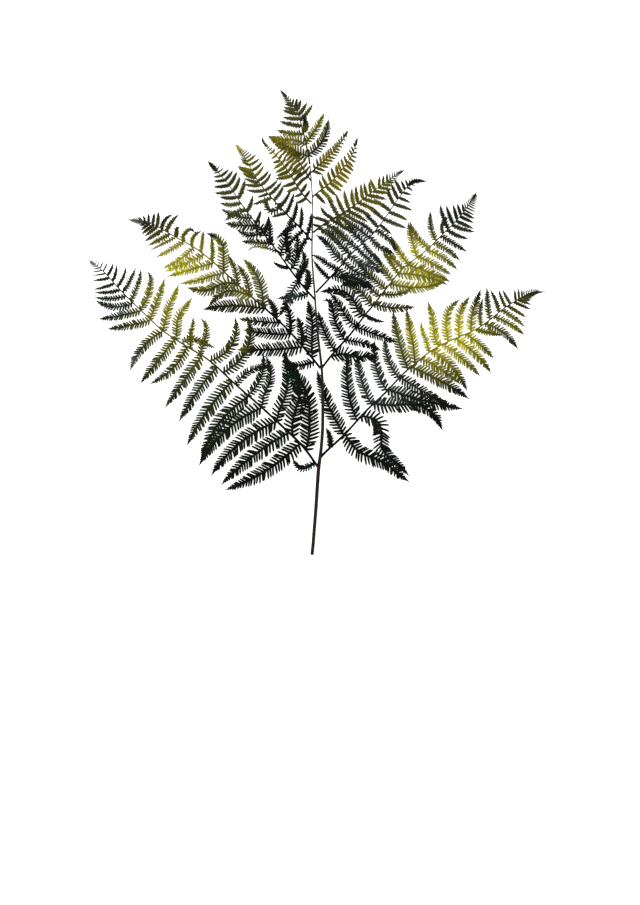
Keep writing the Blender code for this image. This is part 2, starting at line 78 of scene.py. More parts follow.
area_light("key", (-1.1, 1.0, 1.9), (0, 0, 0), 1.2, 42)
area_light("fill", (1.4, -0.6, 1.6), (0, 0, 0), 1.6, 14)
world = bpy.data.worlds.new("room")
bpy.context.scene.world = world
world.use_nodes = True
world.node_tree.nodes["Background"].inputs["Color"].default_value = (1, 1, 1, 1)
world.node_tree.nodes["Background"].inputs["Strength"].default_value = 0.55

FLOOR_HALF, FLOOR_DROP = 20.0, 0.0003
floor_mesh = bpy.data.meshes.new("floor")
floor_corners = [(-FLOOR_HALF, -FLOOR_HALF, 0), (FLOOR_HALF, -FLOOR_HALF, 0),
                 (FLOOR_HALF, FLOOR_HALF, 0), (-FLOOR_HALF, FLOOR_HALF, 0)]
floor_mesh.from_pydata(floor_corners, [], [(0, 1, 2, 3)])
floor = bpy.data.objects.new("floor", floor_mesh)
floor.location.z = -FLOOR_DROP
bpy.context.scene.collection.objects.link(floor)
floor_white = bpy.data.materials.new("floor_white")
floor_white.use_nodes = True
floor_shader = floor_white.node_tree.nodes["Principled BSDF"]
floor_shader.inputs["Base Color"].default_value = (0.92, 0.92, 0.92, 1)
floor_shader.inputs["Roughness"].default_value = 0.9
floor_shader.inputs["Emission Color"].default_value = (1, 1, 1, 1)
floor_shader.inputs["Emission Strength"].default_value = 0.85
floor_mesh.materials.append(floor_white)

# The stalk: a slender stem, dark brown at the cut end and olive where it thins out among the leaves.
# It is one piece from the cut to the crown, with a shallow groove on top and a flat, pale cut.
STALK_LINE = [
    (312, 555), (313.2, 543), (314.2, 530), (316, 507), (317.4, 485), (318.8, 467), (321, 450),
    (322.5, 430), (322.8, 410), (322.5, 390), (321.8, 370), (319.6, 350), (317.4, 330),
    (315.8, 310), (314.8, 295), (313.2, 275), (312, 255), (312.2, 235), (312.8, 215),
    (312.4, 200), (311.6, 185), (310.6, 173), (310, 165.2),
]
STALK_RADII = [(555, 0.00215), (530, 0.00222), (470, 0.00240), (450, 0.00215), (400, 0.00190),
               (370, 0.00168), (340, 0.00138), (300, 0.00122), (230, 0.00092), (165.2, 0.00070)]
HEIGHTS = [(555, 0.0019), (530, 0.0019), (500, 0.0048), (460, 0.0100), (400, 0.0135),
           (300, 0.0140), (220, 0.0115), (150, 0.0070), (88, 0.0030)]
STALK_STATIONS, STALK_AROUND, SPAN_STEPS = 120, 16, 12
GROOVE_DEPTH, GROOVE_EDGE, GROOVE_SPAN = 0.22, 0.8, 0.2
FLAT_UNDER, CUT_DRAWN_IN, STALK_LOWEST = -0.95, 0.12, 0.0001
SIDE_FALL, SIDE_REACH = 0.0110, 0.285
DARK_BARK, OLIVE_BARK, CUT_FLESH = (.012, .0045, .0015, 1), (.028, .028, .010, 1), (.10, .08, .04, 1)


def lengths_along(line):
    """How far each point lies along the line from its first."""
    return np.concatenate([[0], np.cumsum(np.linalg.norm(np.diff(line, axis=0), axis=1))])


def resample(line, count):
    """The line's points at even steps, by straight interpolation over its length."""
    along = lengths_along(line)
    wanted = np.linspace(0, along[-1], count)
    return np.column_stack([np.interp(wanted, along, line[:, k]) for k in range(line.shape[1])])


def smooth_line(points, count):
    """A Catmull-Rom curve through the points, its ends carried on straight, at even steps."""
    p = np.vstack([2 * points[0] - points[1], points, 2 * points[-1] - points[-2]])
    t = np.linspace(0, 1, SPAN_STEPS, endpoint=False)[None, :, None]
    a, b, c, d = (p[k:len(p) - 3 + k, None] for k in range(4))
    spans = 0.5 * (2 * b + (c - a) * t + (2 * a - 5 * b + 4 * c - d) * t**2
                   + (3 * b - a - 3 * c + d) * t**3)
    return resample(np.vstack([spans.reshape(-1, points.shape[1]), points[-1:]]), count)


def by_row(y, table):
    """A number at y, read from (row, number) pairs."""
    rows, numbers = np.array(table, float).T
    return np.interp(y, ((MIDDLE_ROW - rows) * STEP), numbers)


def directions(lines):
    """Unit directions along lines shaped (..., points, 2), from the neighbours of each point."""
    d = np.gradient(lines, axis=-2)
    return d / np.linalg.norm(d, axis=-1, keepdims=True)


def left_of(direction):
    """The direction turned a quarter to the left: (x, y) becomes (-y, x)."""
    return np.stack([-direction[..., 1], direction[..., 0]], axis=-1)


def skins(rings):
    """Closed skins over rings shaped (copies, stations, points, channels): quads from ring to ring,
    and at each end a fan to the ring's middle. Returns points with their channels, quads, triangles."""
    copies, stations, around, channels = rings.shape
    at = np.arange(copies * stations * around).reshape(copies, stations, around)
    on = np.roll(at, -1, axis=2)
    quads = np.stack([at[:, :-1], on[:, :-1], on[:, 1:], at[:, 1:]], axis=-1).reshape(-1, 4)
    poles = copies * stations * around + np.arange(2 * copies).reshape(copies, 2, 1)
    first = np.stack(np.broadcast_arrays(on[:, 0], at[:, 0], poles[:, 0]), axis=-1)
    last = np.stack(np.broadcast_arrays(at[:, -1], on[:, -1], poles[:, 1]), axis=-1)
    ends = rings[:, [0, -1]].mean(axis=2)
    points = np.concatenate([rings.reshape(-1, channels), ends.reshape(-1, channels)])
    return points, quads, np.concatenate([first.reshape(-1, 3), last.reshape(-1, 3)])


def mesh_piece(name, parts, material, node):
    """One object from several sets of skins. The channels past x, y and z are kept on the points:
    three of them as "place" and the rest as the colour attribute, which for the leaf holds its colour with
    painted sunlight and shade."""
    points, faces, count = [], [], 0
    for found, quads, triangles in parts:
        points.append(found)
        faces += (quads + count).tolist() + (triangles + count).tolist()
        count += len(found)
    points = np.concatenate(points)
    mesh = bpy.data.meshes.new(name)
    mesh.from_pydata(points[:, :3], [], faces)
    for label, values in (("place", points[:, 3:6]), ("colour_and_painted_light", points[:, 6:9])):
        layer = mesh.attributes.new(label, "FLOAT_VECTOR", "POINT")
        layer.data.foreach_set("vector", np.ascontiguousarray(values, np.float32).ravel())
    mesh.polygons.foreach_set("use_smooth", np.ones(len(faces), bool))
    mesh.materials.append(material)
    mesh.validate()
    piece = bpy.data.objects.new(name, mesh)
    bpy.context.scene.collection.objects.link(piece)
    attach(piece, "root")
    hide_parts(node)


class Socket:
    """A shader socket. Each +, - or * on it adds a Math node and gives that node's socket."""

    def __init__(self, tree, socket=None):
        self.tree = tree
        self.socket = socket

    def node(self, kind, inputs, output=0, **settings):
        """A node of a type, its settings made first, and then values or links for its sockets."""
        made = self.tree.nodes.new("ShaderNode" + kind)
        for setting, value in settings.items():
            setattr(made, setting, value)
        for place, value in inputs.items():
            if isinstance(value, Socket):
                self.tree.links.new(value.socket, made.inputs[place])
            else:
                made.inputs[place].default_value = value
        return Socket(self.tree, made.outputs[output])

    def maths(self, operation, first, second=0.0):
        return self.node("Math", {0: first, 1: second}, operation=operation)

    def __add__(self, other):
        return self.maths("ADD", self, other)

    def __sub__(self, other):
        return self.maths("SUBTRACT", self, other)

    def __rsub__(self, other):
        return self.maths("SUBTRACT", other, self)

    def __mul__(self, other):
        return self.maths("MULTIPLY", self, other)

    __radd__, __rmul__ = __add__, __mul__

    def mix(self, first, second):
        """Two colours mixed by this socket, which is 0 for the first and 1 for the second."""
        return self.node("Mix", {0: self, 6: first, 7: second}, 2, data_type="RGBA")

    def tinted(self, other):
        """This colour multiplied by another, channel by channel."""
        return self.node("Mix", {0: 1.0, 6: self, 7: other}, 2, data_type="RGBA", blend_type="MULTIPLY")

    def ramp(self, low, high):
        """This socket's range from low to high, made 0 to 1 with soft ends."""
        return self.node("MapRange", {0: self, 1: low, 2: high}, interpolation_type="SMOOTHSTEP")


def new_material(name, roughness, specular):
    """A material, its Principled shader with fixed roughness and specular level, and a bare socket."""
    material = bpy.data.materials.new(name)
    material.use_nodes = True
    shader = material.node_tree.nodes["Principled BSDF"]
    shader.inputs["Roughness"].default_value = roughness
    shader.inputs["Specular IOR Level"].default_value = specular
    return material, shader, Socket(material.node_tree)


def bark_material():
    """Dark brown with fine lengthwise streaks, turning olive up the stalk, and pale on the cut."""
    material, shader, s = new_material("bracken_stalk", 0.5, 0.12)
    spot = s.node("TexCoord", {}, "Object")
    streaked = s.node("Mapping", {0: spot, 3: (1400, 60, 1400)})
    streaks = s.node("TexNoise", {"Vector": streaked, "Scale": 1.0, "Detail": 3.0}, "Fac")
    place = s.node("Attribute", {}, "Vector", attribute_name="place")
    up = s.node("SeparateXYZ", {0: place}, 0)
    cut = s.node("SeparateXYZ", {0: place}, 2)
    olive = (up + (streaks - 0.5) * 0.5).ramp(0.35, 0.9)
    bark = olive.mix(DARK_BARK, OLIVE_BARK)
    light = (streaks.ramp(0.45, 0.8) * 0.4).mix(bark, (.05, .038, .018, 1))
    s.tree.links.new(cut.ramp(0.6, 0.9).mix(light, CUT_FLESH).socket, shader.inputs["Base Color"])
    bump = s.node("Bump", {"Height": streaks, "Strength": 0.35, "Distance": 0.0003}, "Normal")
    s.tree.links.new(bump.socket, shader.inputs["Normal"])
    return material


def stalk_x(y):
    """The stalk's middle at y."""
    return np.interp(y, STALK[:, 1], STALK[:, 0])


def stalk_skin():
    """Rings round the stalk's line, their radius by row. The top dips by GROOVE_DEPTH of the radius in
    a groove, and the underside is flat. The first ring is the cut, drawn in so that its edge is crisp."""
    middle = STALK
    y = middle[:, 1]
    left = left_of(directions(middle))
    turn = np.linspace(0, 2 * np.pi, STALK_AROUND, endpoint=False)
    across, up = np.cos(turn), np.sin(turn)
    grooved = up - GROOVE_DEPTH * (up - GROOVE_EDGE) / GROOVE_SPAN
    up = np.where(up > GROOVE_EDGE, grooved, np.maximum(up, FLAT_UNDER))
    radius = by_row(y, STALK_RADII)[:, None]
    ring = middle[:, None] + left[:, None] * (across * radius)[..., None]
    z = np.maximum(by_row(y, HEIGHTS)[:, None] + up * radius, STALK_LOWEST)
    share = np.linspace(0, 1, len(middle))[:, None]
    extra = [share + 0 * z, across + 0 * z, 0 * z, 0 * z, 0 * z, 0 * z]
    rings = np.dstack([ring, z, *extra])
    cut = rings[:1].copy()
    cut[..., 5] = 1
    inner = cut.copy()
    inner[..., :3] += CUT_DRAWN_IN * (cut[..., :3].mean(axis=1, keepdims=True) - cut[..., :3])
    return skins(np.concatenate([inner, cut, rings])[None])


STALK = smooth_line(plate(STALK_LINE), STALK_STATIONS)
mesh_piece("stalk_bark", [stalk_skin()], bark_material(), "stalk")

# The first pair of pinnae, the widest: leafy side branches with a midrib, and pinnules on both
# sides that are cut into fine segments. Each grows from the stalk, and its tip lies on the floor.
# The leaf's colours. The first three are painted shade, black-green where no sun falls; the next seven are
# patches of painted sunlight laid over it, from blue-green to yellow, gold and a pale mist; the last is the
# leaf underside's own duller colour.
BLACK_GREEN, DEEP_GREEN, FOLD_SHADE_GREEN = (.0025, .0042, .0025), (.012, .020, .005), (.002, .012, .002)
BLUE_GREEN, MOSS, OLIVE = (.024, .037, .028), (.052, .056, .012), (.11, .105, .003)
LIME, YELLOW, GOLD = (.24, .225, .008), (.40, .37, .008), (.17, .14, .004)
MIST, UNDERSIDE = (.15, .175, .125), (.050, .070, .030, 1)
RIB_RADIUS, RIB_GROWTH, RIB_TIP = 0.0010, 0.0020, 0.35
RIB_STATIONS, RIB_SAMPLES, RIB_AROUND = 48, 60, 10
PINNULE_STATIONS, PINNULE_SAMPLES = 14, 24
TAIL_POWER, TAIL_BOW, TAIL_WIDTH, SHORTEST_PINNULE = 0.75, 0.03, 0.65, 2.0
LEAF_HALF_THICKNESS, LYING, LOWEST, LEAST_WING = 0.00022, 0.00035, 0.00005, 0.30
FUSED_MOST, FUSED_FALL, FUSED_AT_TIP = 0.84, 0.72, 0.8
VEIN_BASE, VEIN_GROWTH, VEIN_THINNING = 0.16, 0.0042, 0.75
SEGMENT_GAP, SEGMENT_GAP_GROWTH, GAP_NARROWING, SHORTEST_SEGMENT = 2.3, 0.014, 0.30, 0.7
SEGMENT_LEAN, LEAN_CHANGE, LEAN_SPREAD, TIPWARD_BEND = 76, 26, 4, 0.14
SEGMENT_ROLL, SEGMENT_DROOP, LENGTH_SPREAD = 0.22, 0.10, 0.06
TONE_STRENGTH, SEGMENT_TONE_SPREAD, FULL_TURN = 0.28, 0.7, 6.28318
SEGMENT_STATIONS = np.array([0, .16, .45, .75, .95])
SEGMENT_WIDTHS = np.array([.54, .39, .36, .33, .17])


def smooth_step(value, low, high):
    """0 below low, 1 above high and 3t^2 - 2t^3 between."""
    t = np.clip((value - low) / (high - low), 0, 1)
    return t * t * (3 - 2 * t)


def bezier(root, tip, bow, base):
    """From root to tip in a quadratic curve whose middle stands off the chord, towards base."""
    off = left_of(tip - root)
    off = off * np.sign(off @ (base - root))
    t = np.linspace(0, 1, PINNULE_SAMPLES)[:, None]
    return (1 - t) ** 2 * root + 2 * t * (1 - t) * ((root + tip) / 2 + 2 * bow * off) + t**2 * tip


def pinnule_lines(rib, listed, key, blade):
    """Each pinnule's middle line and width: those listed, past the last of them smaller copies of it
    that shrink to the tip by a steady ratio, and the blade that the end of the rib itself carries. A
    listed one is (root, tip column, tip row, bow, width), or (root, points, width) if it is bent.
    A bow left out is 0, and a width 1."""
    along = lengths_along(rib)
    order = np.argsort(rib[:, key])

    def spot(distance):
        return np.stack([np.interp(distance, along, rib[:, k]) for k in range(2)], axis=-1)

    at = [np.interp(plate((e[0], e[0]))[0, key], rib[order, key], along[order]) for e in listed]
    found = []
    for start, entry in zip(at, listed):
        if isinstance(entry[1], list):
            _, points, width = entry + (1.0,)[len(entry) - 2:]
            line = smooth_line(np.vstack([spot(start), plate(points)]), PINNULE_SAMPLES)
        else:
            _, column, row, bow, width = entry + (0.0, 1.0)[len(entry) - 3:]
            line = bezier(spot(start), plate((column, row))[0], bow, rib[0])
        found.append((line, width))
    left = along[-1] - at[-1]
    reach, ratio = found[-1][0][-1] - spot(at[-1]), max(0, 1 - (at[-1] - at[-2]) / left) ** TAIL_POWER
    share = ratio
    while np.linalg.norm(reach) * share > SHORTEST_PINNULE * STEP:
        start = spot(along[-1] - left * share)
        found.append((bezier(start, start + reach * share, TAIL_BOW, rib[0]), TAIL_WIDTH))
        share *= ratio
    length, wide = blade
    end = spot(np.linspace(along[-1] - length * STEP, along[-1], PINNULE_SAMPLES))
    return found + [(end, wide / half_width(length))]


def half_width(length):
    """A pinnule's half width for its length, both in plate steps: 6.8% of its length and for long
    ones up to 3% more, and besides that 0.35 for the smallest, which grows to 1."""
    return 1.0 - 0.65 * np.exp(-length / 6) + 0.068 * length + 0.030 * length * smooth_step(length, 20, 45)


def narrowing(share, length):
    """A pinnule's width along it as a share of its widest: (1 - share^3.4)^1.05 for a short pinnule and
    (1 - share^3.2)^1.05 for a long one, times a rise from 0.7 to 1 over its first tenth."""
    power = 3.4 - 0.2 * smooth_step(length, 20, 50)
    return np.minimum(1, 0.70 + 3.0 * share) * (1 - share**power) ** 1.05


def wings(lines, widths, heights, random):
    """The pinnules' middles: a ridge of vein with a wing of leaf on both sides, as rings of ten
    points. The wing is the share of the full width in which the segments are fused: 0.84 of it in a
    short pinnule, 0.12 in a long one, and near every tip 0.8."""
    share = np.linspace(0, 1, PINNULE_STATIONS)
    middle = np.stack([resample(line, PINNULE_STATIONS) for line in lines])
    length = np.array([lengths_along(line)[-1] for line in lines]) / STEP
    full = (half_width(length) * widths)[:, None] * narrowing(np.minimum(share, .999), length[:, None])
    fused = (FUSED_MOST - FUSED_FALL * smooth_step(length, 8, 42))[:, None]
    wing = full * (fused + (FUSED_AT_TIP - fused) * smooth_step(share, 0.65, 1.0))
    vein = (VEIN_BASE + VEIN_GROWTH * length[:, None]) * (1 - VEIN_THINNING * share)
    wing = np.maximum(np.maximum(wing, LEAST_WING), vein * 1.15)[..., None] * STEP
    vein = vein[..., None] * STEP
    t = LEAF_HALF_THICKNESS * (1 - 0.5 * share)[None, :, None]
    across = np.concatenate([wing, 0.6 * wing, vein, 0 * vein, -vein, -0.6 * wing, -wing,
                             -0.5 * wing, 0 * wing, 0.5 * wing], axis=-1)
    rise = np.concatenate([-0.2 * wing, 0 * wing + t, 0 * wing + t, 0.9 * vein + t, 0 * wing + t,
                           0 * wing + t, -0.2 * wing, -t + 0 * wing, -t - 0.6 * vein, -t + 0 * wing], axis=-1)
    left = left_of(directions(middle))
    ring = middle[:, :, None] + left[:, :, None] * across[..., None]
    z = heights(ring) + rise
    wood = np.broadcast_to([0, 0, .8, 1, .8, 0, 0, -1, -1, -1], z.shape)
    tone = np.broadcast_to(random.normal(0, 1, (len(lines), 1, 1)), z.shape)
    extra = np.stack([0.1 + 0 * z, 0 * z, wood, tone, 0 * z, 0 * z], axis=-1)
    return skins(np.concatenate([ring, z[..., None], extra], axis=-1))


def segments(lines, widths, heights, random):
    """The fingers on both sides of every pinnule. Their bases stand in steps that shorten by a quarter
    towards its tip, their length is half_width() times narrowing() over the sine of their lean, and
    they bend towards the tip. Each is a lens of six points round."""
    root, along, out, long, gap, tone = [], [], [], [], [], []
    for line, widen in zip(lines, widths):
        lengths = lengths_along(line)
        length = lengths[-1] / STEP
        count = max(2, int(length / (SEGMENT_GAP + SEGMENT_GAP_GROWTH * length) / (1 - GAP_NARROWING / 2)))
        base_tone = random.normal(0, 1)
        for side in (1, -1):
            share = (np.arange(count) + 0.45 + 0.25 * side) / (count + 0.3)
            share = share + GAP_NARROWING * share * (1 - share) / 2 + random.normal(0, 0.05 / count, count)
            reach = half_width(length) * widen * narrowing(np.clip(share, 0, .999), length)
            keep = (reach > SHORTEST_SEGMENT) & (share > 0) & (share < 0.97)
            share, reach = share[keep], reach[keep]
            spot = [np.interp(share * lengths[-1], lengths, line[:, k]) for k in range(2)]
            way = directions(line)
            way = np.stack([np.interp(share * lengths[-1], lengths, way[:, k]) for k in range(2)], axis=-1)
            lean = SEGMENT_LEAN - LEAN_CHANGE * share + random.normal(0, LEAN_SPREAD, len(share))
            lean = np.radians(lean)[:, None]
            root.append(np.stack(spot, axis=-1))
            along.append(way)
            out.append(np.cos(lean) * way + np.sin(lean) * side * left_of(way))
            long.append(reach / np.sin(lean[:, 0]) * (1 + random.normal(0, LENGTH_SPREAD, len(share))))
            gap.append(length / (count + 0.3) * (1 + GAP_NARROWING * (0.5 - share)))
            tone.append(base_tone + SEGMENT_TONE_SPREAD * random.normal(0, 1, len(share)))
    root, along, out = (np.concatenate(part)[:, None] for part in (root, along, out))
    long, gap, tone = (np.concatenate(part)[:, None] for part in (long, gap, tone))
    u = SEGMENT_STATIONS[None]
    middle = root + (out * u[..., None] + along * (TIPWARD_BEND * u**2)[..., None]) * long[..., None] * STEP
    half = SEGMENT_WIDTHS[None] * np.minimum(gap, 0.9 * long) * STEP
    t = LEAF_HALF_THICKNESS * (1 - 0.6 * u**3)
    profile_across = np.array([1, .5, 0, -.5, -1, 0])
    profile_rise = np.array([0, 1, .45, 1, 0, -1])
    wood = np.array([0, 0, 0, 0, 0, -1])
    roll = random.normal(0, SEGMENT_ROLL, long.shape)
    droop = random.normal(-SEGMENT_DROOP, SEGMENT_DROOP, long.shape)
    left = left_of(directions(middle))
    across = half[..., None] * profile_across
    ring = middle[:, :, None] + left[:, :, None] * across[..., None]
    rise = t[..., None] * profile_rise - 0.25 * half[..., None] * np.abs(profile_across) ** 3
    rise = rise + roll[..., None] * across + (droop * long * STEP * u)[..., None]
    z = heights(ring) + rise
    extra = np.stack([u[..., None] + 0 * z, profile_across + 0 * z, wood + 0 * z, tone[..., None] + 0 * z,
                      0 * z, 0 * z], axis=-1)
    return skins(np.concatenate([ring, z[..., None], extra], axis=-1))


def rib_skin(rib, heights):
    """The midrib: rings round its line, thinning to the tip, with a flat groove on top."""
    middle = resample(rib, RIB_STATIONS)
    share = np.linspace(0, 1, RIB_STATIONS)[:, None]
    radius = (RIB_RADIUS + RIB_GROWTH * lengths_along(rib)[-1]) * (1 - (1 - RIB_TIP) * share)
    turn = np.linspace(0, 2 * np.pi, RIB_AROUND, endpoint=False) + np.pi / RIB_AROUND
    across, up = np.cos(turn), np.sin(turn)
    up = np.where(up > 0.9, 0.7, up)
    ring = middle[:, None] + left_of(directions(middle))[:, None] * (radius * across)[..., None]
    z = heights(ring) + radius * up
    extra = np.stack([share + 0 * z, across + 0 * z, 1 + 0 * z, 0 * z, 0 * z, 0 * z], axis=-1)
    return skins(np.concatenate([ring, z[..., None], extra], axis=-1)[None])


def painted(points, light):
    """The leaf's colour at each point, with painted light: black-green as painted shade, and over it each
    patch in turn, painted sunlight or, where its colour is dark, painted shade; each fades by
    exp(-((dx/reach)^2 + (dy/reach)^2)^1.5). Lighter or darker by the point's tone."""
    colour = np.broadcast_to(np.array(BLACK_GREEN), (len(points), 3)).copy()
    for paint, column, row, columns, rows in light:
        x, y = plate((column, row))[0]
        fade = ((points[:, 0] - x) / (columns * STEP)) ** 2 + ((points[:, 1] - y) / (rows * STEP)) ** 2
        share = np.exp(-fade ** 1.5)[:, None]
        colour += (np.array(paint) - colour) * share
    return colour * np.exp(TONE_STRENGTH * np.clip(points[:, 6:7], -2, 2))


def leaf_material():
    """Leaf colour by the colour attribute of its points, which holds the painted sunlight and shade,
    mottled, darker along the middle of a pinnule and bright at the ends of its segments, with a vein along
    each segment, fine veins off it, dark midribs and a duller underside."""
    material, shader, s = new_material("bracken_leaf", 0.65, 0.06)
    spot = s.node("TexCoord", {}, "Object")
    # The points' colour, with its painted sunlight and shade.
    colour_and_painted_light = s.node("Attribute", {}, "Color", attribute_name="colour_and_painted_light")
    place = s.node("Attribute", {}, "Vector", attribute_name="place")
    along, across, wood = (s.node("SeparateXYZ", {0: place}, k) for k in range(3))
    mottle = s.node("TexNoise", {"Vector": spot, "Scale": 120.0, "Detail": 3.0}, "Fac")
    fine = s.node("TexNoise", {"Vector": spot, "Scale": 1500.0, "Detail": 2.0}, "Fac")
    aside = s.maths("ABSOLUTE", across)
    midvein = 1 - aside.ramp(0.02, 0.22)
    side_veins = s.maths("SINE", (along * 5.0 - aside * 1.2) * FULL_TURN).ramp(0.55, 1.0)
    veins = midvein * 0.5 + side_veins * 0.16
    brightness = (0.55 + mottle * 0.55 + fine * 0.22) * (0.62 + along * 0.6)
    toned = colour_and_painted_light.tinted(s.node("CombineXYZ", {0: brightness, 1: brightness, 2: brightness}))
    veined = veins.mix(toned, toned.tinted((1.7, 1.65, 1.9, 1)))
    ribbed = (wood * 0.65).mix(veined, colour_and_painted_light.tinted((.42, .40, .55, 1)))
    dull = s.node("Mix", {0: 0.6, 6: toned, 7: UNDERSIDE}, 2, data_type="RGBA")
    s.tree.links.new((0 - wood).ramp(0.1, 0.6).mix(ribbed, dull).socket, shader.inputs["Base Color"])
    bump = s.node("Bump", {"Height": veins + fine * 0.4, "Strength": 0.3, "Distance": 0.0002}, "Normal")
    s.tree.links.new(bump.socket, shader.inputs["Normal"])
    return material


def leaf_heights(rib, tilt, lift):
    """The leaf's height as a function of places: the stalk's height at that row, less a fall of
    SIDE_FALL * (distance / SIDE_REACH)^2 towards the side, plus the pinna's tilt and lift."""
    chord = (rib[-1] - rib[0]) / np.linalg.norm(rib[-1] - rib[0])
    to_cut_end = left_of(chord) * -np.sign(left_of(chord)[1])
    length = np.linalg.norm(rib[-1] - rib[0])

    def heights(p):
        away = (p[..., 0] - stalk_x(p[..., 1])) / SIDE_REACH
        share = np.clip((p - rib[0]) @ chord / length, 0, 1)
        z = by_row(p[..., 1], HEIGHTS) - SIDE_FALL * away**2
        z = z + tilt * ((p - rib[0]) @ to_cut_end) + lift * share
        return np.maximum(z, LYING)

    return heights


def leaf_piece(name, node, rib, sides, key, tilt, lift, light, seed, blade=(10, 0.9), stout=1.0):
    """A pinna or the crown: its midrib, and its pinnules' wings and segments, painted and placed.
    Its pinnules are as wide as their length gives, times stout."""
    random = np.random.default_rng(seed)
    line = smooth_line(plate(rib), RIB_SAMPLES)
    heights = leaf_heights(line, tilt, lift)
    parts = [rib_skin(line, heights)]
    for listed in sides:
        found = pinnule_lines(line, listed, key, blade)
        lines, widths = [f[0] for f in found], stout * np.array([f[1] for f in found])
        parts.append(wings(lines, widths, heights, random))
        parts.append(segments(lines, widths, heights, random))
    for points, _, _ in parts:
        points[:, 2] = np.maximum(points[:, 2], LOWEST)
        points[:, 6:9] = painted(points, light)
    mesh_piece(name, parts, leaf_green, node)


leaf_green = leaf_material()
leaf_piece(
    "pinna_left_1_leaf", "pinna_left_1", key=0, tilt=.055, lift=-.0042, seed=11, stout=0.96, blade=(8, 1.2),
    rib=[(318, 467), (303, 446.5), (283, 427), (258, 404), (235, 384), (210, 361), (186, 346),
         (163, 331), (151, 320), (140, 309.5), (126, 296), (113, 282), (103, 271), (88, 259.5)],
    sides=[
        [(306, [(309, 436), (309.5, 420), (309, 405), (306.5, 393), (301, 382), (294, 372), (287, 360)]),
         (293, [(292, 428), (294, 415), (298, 402), (299.5, 391), (296, 379), (290, 366), (283, 354)]),
         (277, [(279, 411), (284, 400), (287, 388), (287.5, 376), (286, 364), (285, 350)]),
         (262, [(264, 395), (268, 386), (271, 376), (270, 367), (266, 356)]),
         (248, 263, 353, .14), (236, 272, 367, -.16), (223, 248, 317, .20), (210, 235, 317, .22),
         (200, [(204, 343), (206.5, 333), (205.5, 324), (200, 318)]),
         (191, [(190, 335), (193, 325), (193, 316)]),
         (182, [(190, 338), (200, 341), (215, 348)]), (176, [(178, 318), (184, 309), (192.5, 297)]),
         (163, [(169, 306), (175, 294), (178.5, 284)]), (150, [(158, 298), (162, 287), (164.5, 278)]),
         (140, [(146, 300), (150, 287), (150.5, 277), (147, 271)]),
         (131, [(134, 293), (139, 281), (140.5, 269)]),
         (122, [(125, 289), (131, 278), (135.5, 267.5)]), (117, 125.5, 266.5, .08), (112, 116, 264, .08),
         (107, 113, 262, .06)],
        [(315, [(308, 466.5), (301, 468.5), (297, 466), (293, 459)], 1.5), (300, 225, 490, .06),
         (289, 221, 485, -.04),
         (277, 211, 476, -.08), (262, 199, 466, -.09), (249, 201, 459, -.09), (232, 187, 446, -.04),
         (217, 179, 422, -.03), (202, 165, 408, .0), (187, 150, 384, .10), (175, 140, 384, .0),
         (163, 130, 371, -.10), (151, 107, 329, .02), (141, 98, 319, .02), (133, 95, 300, .14),
         (126, 94, 297, .06), (120, 94, 292, .05), (114, 93, 289, .04), (109, 92, 280, .04)]],
    light=[(DEEP_GREEN, 190, 380, 80, 70), (OLIVE, 180, 320, 60, 50), (LIME, 172, 302, 32, 25),
           (DEEP_GREEN, 112, 298, 28, 30), (MIST, 90, 262, 12, 12), (MIST, 134, 366, 8, 9),
           (FOLD_SHADE_GREEN, 291, 368, 9, 18)])
leaf_piece(
    "pinna_right_1_leaf", "pinna_right_1", key=0, tilt=.055, lift=-.0043, seed=21,
    rib=[(321, 457), (326, 451.5), (345, 434), (365, 412), (385, 393), (403, 374), (416, 363),
         (428, 353), (441, 345), (455, 338.5), (468, 333), (480, 327), (492, 318), (503, 309),
         (512, 303), (522, 297), (532, 292), (546, 291.5)],
    sides=[
        [(330, 326, 428, -.10, 1.6), (344, 317, 370, .04), (357, 349, 352, .08), (372, 357, 353, .06),
         (387, 375, 340, .10), (399, 385, 337, .10), (408, 393, 311, .03),
         (415, [(413, 345), (410, 330), (406.5, 309)]), (429, [(426, 340), (422, 330), (421, 321)]),
         (439, [(434, 335), (433, 320), (428, 301)]),
         (448, [(446, 325), (447, 315), (450, 308), (460, 299)]),
         (459, [(459, 320), (462, 308), (470, 296)]), (471, [(472, 315), (476, 303), (481, 289)]),
         (481, [(480, 312), (483, 298)]), (490, [(488, 305), (487, 287)]),
         (499, [(497, 303), (490.5, 289)]),
         (506, 499, 289, .04), (511, 503, 289, .04), (516, 515, 289), (519.5, 518.5, 288),
         (522.5, 522, 289)],
        [(345, [(353, 446), (363, 454), (376, 459), (388, 465), (398, 474), (409.5, 482)]),
         (361, [(368, 417), (376, 420), (380.5, 427), (381, 438), (382, 448), (389, 457), (400, 466),
                (409, 476)]),
         (374, [(382, 405), (398, 405), (413, 404), (425, 408), (436, 417), (442.5, 431)]),
         (388, 463, 409, .02),
         (400, 449, 405, .02), (411, 469, 399, -.03), (421, 460, 384, -.04), (432, 467, 391, -.08),
         (443, 480, 376, -.03), (455, 491, 373, -.06), (466, 493.5, 358.5, -.04, 1.15),
         (476, [(488, 332.5), (502, 335)], 1.3), (485, 518, 349, -.10), (494, 525, 335, -.05),
         (502, 525.5, 327, -.03),
         (508, 527, 317.5), (514, 532, 309.5), (518, 532, 304.5), (520.5, 531.5, 301)]],
    light=[(BLUE_GREEN, 385, 370, 35, 50), (MOSS, 402, 330, 16, 30), (OLIVE, 450, 345, 50, 40),
           (YELLOW, 445, 335, 38, 28),
           (MOSS, 518, 303, 24, 20), (OLIVE, 510, 322, 18, 14), (DEEP_GREEN, 486, 290, 16, 6),
           (GOLD, 490, 333, 10, 3), (BLACK_GREEN, 463, 391, 12, 8)])
